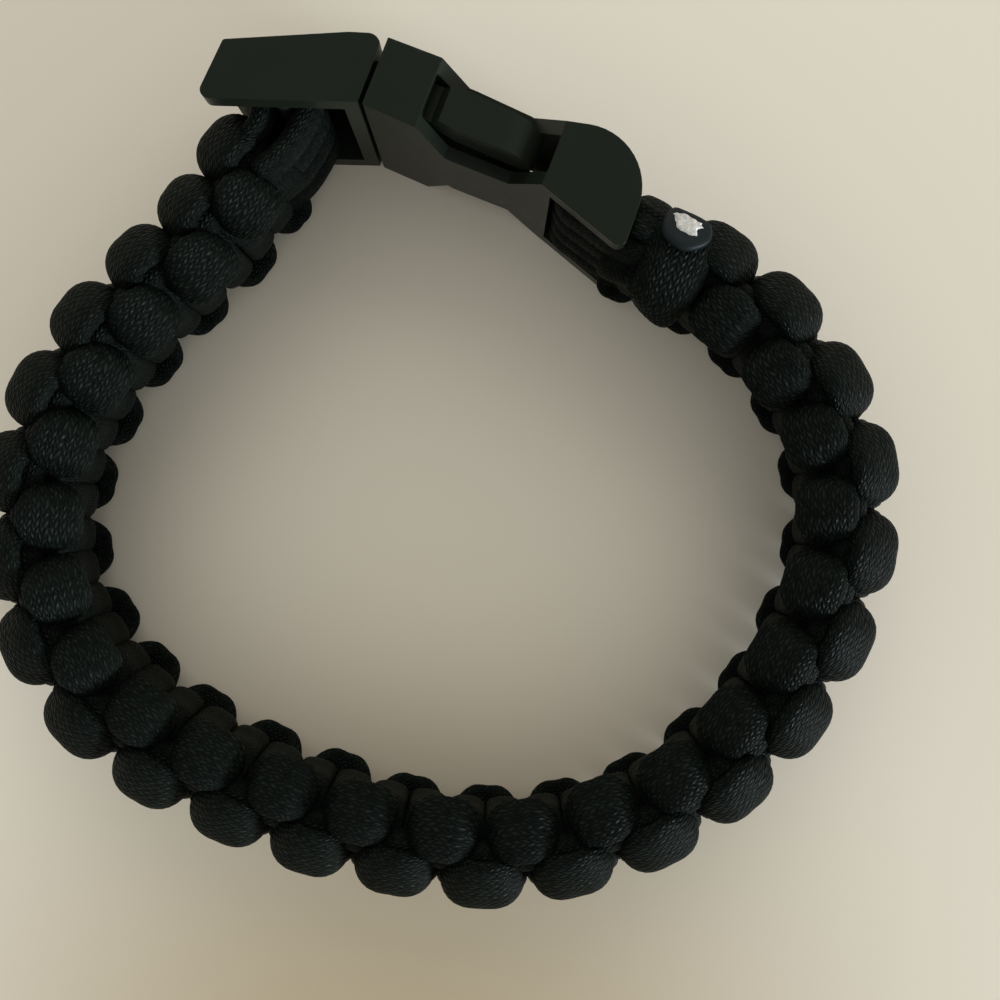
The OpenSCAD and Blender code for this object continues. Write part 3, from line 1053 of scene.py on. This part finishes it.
@dataclass
class BuckleHalf:
    """One moulded half of the buckle, with its edges rounded off.

    Corners closer than the weld are merged, and faces within the flat angle are joined first.
    """

    node: str
    finish: bpy.types.Material
    weld: float = 0.002
    flat_within: float = 1.5
    edge: float = 0.45
    segments: int = 3
    sharp_from: float = 28.0

    def build(self) -> list[bpy.types.Object]:
        """Round the edges of a copy of the solid and dress it.

        Returns:
            The piece, in a list.
        """
        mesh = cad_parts[self.node].data.copy()
        mesh.name = f"{self.node}_moulding"
        shell = bmesh.new()
        shell.from_mesh(mesh)
        bmesh.ops.remove_doubles(shell, verts=shell.verts, dist=self.weld * MM)
        bmesh.ops.dissolve_limit(shell, angle_limit=math.radians(self.flat_within),
                                 verts=shell.verts, edges=shell.edges)
        bmesh.ops.recalc_face_normals(shell, faces=shell.faces)
        shell.to_mesh(mesh)
        shell.free()
        mesh.shade_smooth()
        mesh.set_sharp_from_angle(angle=math.radians(self.sharp_from))
        piece = placed(mesh.name, mesh)
        bevel = piece.modifiers.new("edge", "BEVEL")
        bevel.width = self.edge * MM
        bevel.segments = self.segments
        bevel.limit_method = "ANGLE"
        bevel.angle_limit = math.radians(self.sharp_from)
        bevel.use_clamp_overlap = True
        bevel.harden_normals = True
        piece = made_plain(piece)
        piece.data.materials.clear()
        piece.data.materials.append(self.finish)
        dressed(piece, Slot.PLASTIC, self.node)
        return [piece]


def bridge(shell: bmesh.types.BMesh, low: list[bmesh.types.BMVert],
           high: list[bmesh.types.BMVert]) -> None:
    """Close the band between two rings of as many points.

    Args:
        shell: Mesh that the faces go to.
        low: One ring.
        high: The other, whose points stand opposite.
    """
    for i in range(len(low)):
        j = (i + 1) % len(low)
        shell.faces.new((low[i], low[j], high[j], high[i]))


def shelled(name: str, shell: bmesh.types.BMesh, place: Matrix,
            finish: bpy.types.Material) -> bpy.types.Object:
    """Make a piece of a shell.

    Args:
        name: Name of the piece.
        shell: Its faces, freed here.
        place: Where they go.
        finish: Its material.

    Returns:
        The piece.
    """
    shell.transform(place)
    mesh = bpy.data.meshes.new(name)
    shell.to_mesh(mesh)
    shell.free()
    mesh.materials.append(finish)
    return placed(name, mesh)


@dataclass
class MeltedEnd:
    """A cut cord end, melted into a low dome with an uneven rim.

    It sits at so many knots along the band, at shares of the way out and up to its faces. The
    side past the cut is squashed, to clear the buckle. Each rim wave has a depth, a count and
    a phase, and the swell a depth, a count and how far it turns towards the rim.
    """

    face: str
    path: LoopPath
    finish: bpy.types.Material
    knots: float
    out_share: float
    rise_share: float
    tilt: float
    cut: float
    diameter: float = 5.1
    height: float = 0.85
    cut_slope: float = 0.2
    around: int = 72
    seat_gap: float = 0.25
    rim_waves: tuple[tuple[float, int, float], ...] = ((0.03, 2, 0.6), (0.02, 5, 0.0))
    swell: tuple[float, int, float] = (0.03, 3, 4.0)
    profile: tuple[tuple[float, float], ...] = (
        (0.90, 0.00), (1.00, 0.20), (1.00, 0.45), (0.97, 0.68), (0.91, 0.85),
        (0.80, 0.95), (0.60, 0.99), (0.36, 1.00), (0.18, 1.00))

    def place(self) -> Matrix:
        """Work out where the end sits, and how it is turned.

        Returns:
            The place.
        """
        run = self.path.knot_place(np.array([self.knots]))
        out = np.array([self.out_share * self.path.band_thickness / 2])
        rise = np.array([self.rise_share * self.path.band_width / 2])
        spot = self.path.point(run, out, rise)[0]
        outward = self.path.outward(run)[0]
        turned = Matrix.Rotation(math.atan2(outward[1], outward[0]), 4, "Z")
        tilted = Matrix.Rotation(math.radians(self.tilt), 4, "Y")
        raised = Matrix.Translation((0, 0, self.seat_gap * MM))
        return Matrix.Translation(Vector(spot * MM)) @ turned @ tilted @ raised

    def _rim_point(self, share: float, rise: float, angle: float) -> Vector:
        """Find a point of the dome.

        Args:
            share: Share of the way from the middle to the rim.
            rise: Share of the height.
            angle: Angle round the dome.

        Returns:
            The point in metres, before the dome is put in its place.
        """
        uneven = 1 - sum(depth * (1 + math.sin(count * angle + phase))
                         for depth, count, phase in self.rim_waves)
        reach = share * self.diameter / 2 * uneven
        depth, count, twist = self.swell
        height = rise * (1 + depth * math.sin(count * angle + twist * share)) * self.height
        out = reach * math.cos(angle)
        if out > self.cut:
            out = self.cut + self.cut_slope * (out - self.cut)
        return Vector((out, reach * math.sin(angle), height)) * MM

    def build(self) -> list[bpy.types.Object]:
        """Make the dome.

        Returns:
            The piece, in a list.
        """
        shell = bmesh.new()
        angles = [math.tau * i / self.around for i in range(self.around)]
        rings = [[shell.verts.new(self._rim_point(share, rise, angle)) for angle in angles]
                 for share, rise in self.profile]
        for low, high in zip(rings, rings[1:]):
            bridge(shell, low, high)
        shell.faces.new(rings[0][::-1])
        shell.faces.new(rings[-1])
        piece = shelled(f"melted_tip_{self.face}", shell, self.place(), self.finish)
        piece.data.shade_smooth()
        dressed(piece, Slot.MELT, f"melted_end_{self.face}")
        return [piece]


@dataclass
class PaleFlake:
    """Thin chalky flake left on the melted end where it was pressed.

    Each layer is a ring: its share of the outline, and the lowest and highest of its heights
    above the end as shares of the lift.
    """

    end: MeltedEnd
    finish: bpy.types.Material
    seed: int = 3
    lift: float = 0.22
    fineness: int = 3
    ragged: float = 0.09
    layers: tuple[tuple[float, float, float], ...] = (
        (1.0, -0.25, -0.25), (1.0, 0.0, 0.06), (0.86, 0.5, 1.0), (0.5, 0.7, 1.0))
    outline: tuple[tuple[float, float], ...] = (
        (0.53, 2.03), (1.11, 0.99), (1.04, -0.06), (0.97, -1.11), (0.52, -1.49),
        (0.20, -0.94), (-0.61, -1.29), (-0.90, -0.80), (-0.94, 0.38), (-0.84, 1.06), (-0.10, 1.43))

    def _rim(self) -> np.ndarray:
        """Break up the sides of the outline unevenly.

        Returns:
            Points of the jagged rim.
        """
        rng = np.random.default_rng(self.seed)
        corners = np.array(self.outline)
        points = []
        for here, following in zip(corners, np.roll(corners, -1, axis=0)):
            for i in range(self.fineness):
                point = here + (following - here) * i / self.fineness
                points.append(point + rng.uniform(-self.ragged, self.ragged, 2))
        return np.array(points)

    def build(self) -> list[bpy.types.Object]:
        """Make the flake.

        Returns:
            The piece, in a list.
        """
        rng = np.random.default_rng(self.seed + 1)
        rim = self._rim()
        middle = rim.mean(axis=0)
        shell = bmesh.new()
        rings = []
        for share, low, high in self.layers:
            flat = middle + share * (rim - middle)
            rises = self.end.height + self.lift * rng.uniform(low, high, len(rim))
            points = np.column_stack((flat, rises)) * MM
            rings.append([shell.verts.new(point) for point in points.tolist()])
        for low_ring, high_ring in zip(rings, rings[1:]):
            bridge(shell, low_ring, high_ring)
        for ring in (rings[0], rings[-1]):
            hub = shell.verts.new(sum((v.co for v in ring), Vector()) / len(ring))
            for i in range(len(ring)):
                shell.faces.new((ring[i], ring[(i + 1) % len(ring)], hub))
        bmesh.ops.recalc_face_normals(shell, faces=shell.faces)
        piece = shelled("pale_flake", shell, self.end.place(), self.finish)
        dressed(piece, Slot.MELT)
        return [piece]


@dataclass
class CordStub:
    """Short cut of cord that leads out of the weave to a melted end."""

    end: MeltedEnd
    sweep: SheathSweep
    length: float = 4.5
    reach: float = 0.7
    width: float = 4.6
    thickness: float = 4.2
    points: int = 24

    def build(self) -> list[bpy.types.Object]:
        """Make the stub.

        Returns:
            The piece, in a list.
        """
        place = self.end.place()
        rises = np.linspace(-self.length, self.reach, self.points)
        centre = np.array([place @ Vector((0, 0, rise * MM)) for rise in rises]) / MM
        facing = np.tile(np.array(place.to_3x3() @ Vector((1, 0, 0))), (self.points, 1))
        course = CordCourse(centre, facing, self.width, self.thickness).evened()
        piece = self.sweep.sweep("cut_cord_stub", course)
        dressed(piece, Slot.CORD)
        return [piece]


@dataclass
class CutTail:
    """The cut cord's last stretch, which lies across the first knot up to its melted end.

    Each place is where its middle line passes, with its share of the width there.
    """

    sweep: SheathSweep
    width: float = 7.2
    thickness: float = 3.0
    dense: int = 80
    places: tuple[tuple[float, float, float, float], ...] = (
        (22.6, 18.7, 13.2, 0.75), (23.1, 19.4, 16.6, 0.88), (23.9, 21.0, 18.1, 0.97),
        (24.7, 23.2, 18.5, 1.00), (25.1, 24.8, 18.4, 1.00), (25.7, 26.4, 17.6, 0.86))

    def build(self) -> list[bpy.types.Object]:
        """Make the stretch.

        Returns:
            The piece, in a list.
        """
        rows = np.array(self.places)
        run = run_along(rows[:, :3])
        dense = smooth_through(run, rows, np.linspace(0, run[-1], self.dense))
        centre = dense[:, :3]
        ahead = unit(np.gradient(centre, axis=0))
        side = unit(np.cross(ahead, UP))
        course = CordCourse(centre, np.cross(side, ahead), dense[:, 3] * self.width, self.thickness)
        piece = self.sweep.sweep("cut_cord_tail", course.evened())
        dressed(piece, Slot.CORD)
        return [piece]


class LampKind(Enum):
    """A wide lamp close by, or a far one whose light comes from one side."""

    AREA = "size"
    SUN = "angle"


@dataclass(frozen=True)
class Lamp:
    """Light that faces the bracelet from its place in millimetres.

    Its breadth is a side in metres or an angle in radians, and its power is in watts or in
    watts a square metre.
    """

    kind: LampKind
    at: tuple[float, float, float]
    breadth: float
    power: float
    colour: tuple[float, float, float]

    def hang(self) -> None:
        """Hang the lamp."""
        data = bpy.data.lights.new(self.kind.name.lower(), self.kind.name)
        setattr(data, self.kind.value, self.breadth)
        data.energy = self.power
        data.color = self.colour
        light = placed(data.name, data)
        light.location = Vector(self.at) * MM
        light.rotation_euler = (-light.location).to_track_quat("-Z", "Y").to_euler()


@dataclass
class Studio:
    """Table, camera above it and soft light."""

    table_half: float = 30000.0
    camera_at: tuple[float, float, float] = (6.296, -2.068, 134.0)
    lens: float = 39.96
    sensor: float = 36.0
    clip_start: float = 5.0
    horizon: tuple[float, float, float] = (0.76, 0.775, 0.77)
    zenith: tuple[float, float, float] = (0.60, 0.61, 0.575)
    sky_band: tuple[float, float] = (0.15, 0.95)
    lamps: tuple[Lamp, ...] = (
        Lamp(LampKind.AREA, (150.0, 1250.0, 750.0), 1.4, 8.5, (1.0, 0.97, 0.90)),
        Lamp(LampKind.SUN, (2200.0, -1500.0, 420.0), 0.25, 4.7, (0.80, 0.90, 1.0)))

    def build(self) -> None:
        """Set up the whole studio."""
        self._table()
        self._camera()
        self._lights()
        bpy.context.scene.view_settings.view_transform = "Standard"

    def _table(self) -> None:
        """Lay the table under the bracelet."""
        half = self.table_half * MM
        corners = [(-half, -half, 0), (half, -half, 0), (half, half, 0), (-half, half, 0)]
        mesh = bpy.data.meshes.new("table")
        mesh.from_pydata(corners, [], [(0, 1, 2, 3)])
        mesh.materials.append(TableTop().material())
        placed("table", mesh)

    def _camera(self) -> None:
        """Hang the camera straight above the bracelet."""
        data = bpy.data.cameras.new("camera")
        data.lens = self.lens
        data.sensor_width = self.sensor
        data.clip_start = self.clip_start * MM
        camera = placed("camera", data)
        camera.location = Vector(self.camera_at) * MM
        bpy.context.scene.camera = camera

    def _lights(self) -> None:
        """Hang the lights."""
        world = bpy.data.worlds.new("studio")
        world.use_nodes = True
        sketch = NodeSketch(world.node_tree)
        way = sketch.add("ShaderNodeTexCoord").outputs["Generated"]
        rise = sketch.add("ShaderNodeSeparateXYZ", {"Vector": way}).outputs["Z"]
        sky = tone_between(sketch, sketch.share(rise, self.sky_band), self.horizon, self.zenith)
        sketch.feed(world.node_tree.nodes["Background"].inputs["Color"], sky)
        bpy.context.scene.world = world
        for lamp in self.lamps:
            lamp.hang()


def main() -> None:
    """Build the studio and the pieces of the bracelet in order."""
    logging.basicConfig(level=logging.INFO, format="%(name)s %(message)s")
    Studio().build()
    path = LoopPath()
    sheath = BraidedSheath()
    sweep = SheathSweep(sheath.braid, sheath.material())
    plastic = MouldedPlastic().material()
    melt = MeltedNylon().material()
    chalky = MeltedNylon("chalky_nylon", low=(0.22, 0.20, 0.17), high=(0.78, 0.76, 0.72),
                         grains=1500.0, roughness=0.8, bump=0.8).material()
    top_end = MeltedEnd("top", path, melt, knots=0.50, out_share=0.36, rise_share=0.93,
                        tilt=18, cut=1.45, diameter=5.5)
    bottom_end = MeltedEnd("bottom", path, melt, knots=0.50, out_share=1.02, rise_share=-0.62,
                           tilt=112, cut=2.55)
    sub_assemblies = (
        CobraWeave(path, sweep),
        BarWraps(path, sweep, BandEnd.PRONG, bar=(-16.151, 39.578)),
        BarWraps(path, sweep, BandEnd.SOCKET, bar=(15.732, 29.950)),
        BuckleHalf("prong_half", plastic),
        BuckleHalf("socket_half", plastic),
        CutTail(sweep),
        top_end,
        PaleFlake(top_end, chalky),
        bottom_end,
        CordStub(bottom_end, sweep))
    for sub_assembly in sub_assemblies:
        for piece in sub_assembly.build():
            log.info("%s: %d faces", piece.name, len(piece.data.polygons))


if __name__ == "__main__":
    main()
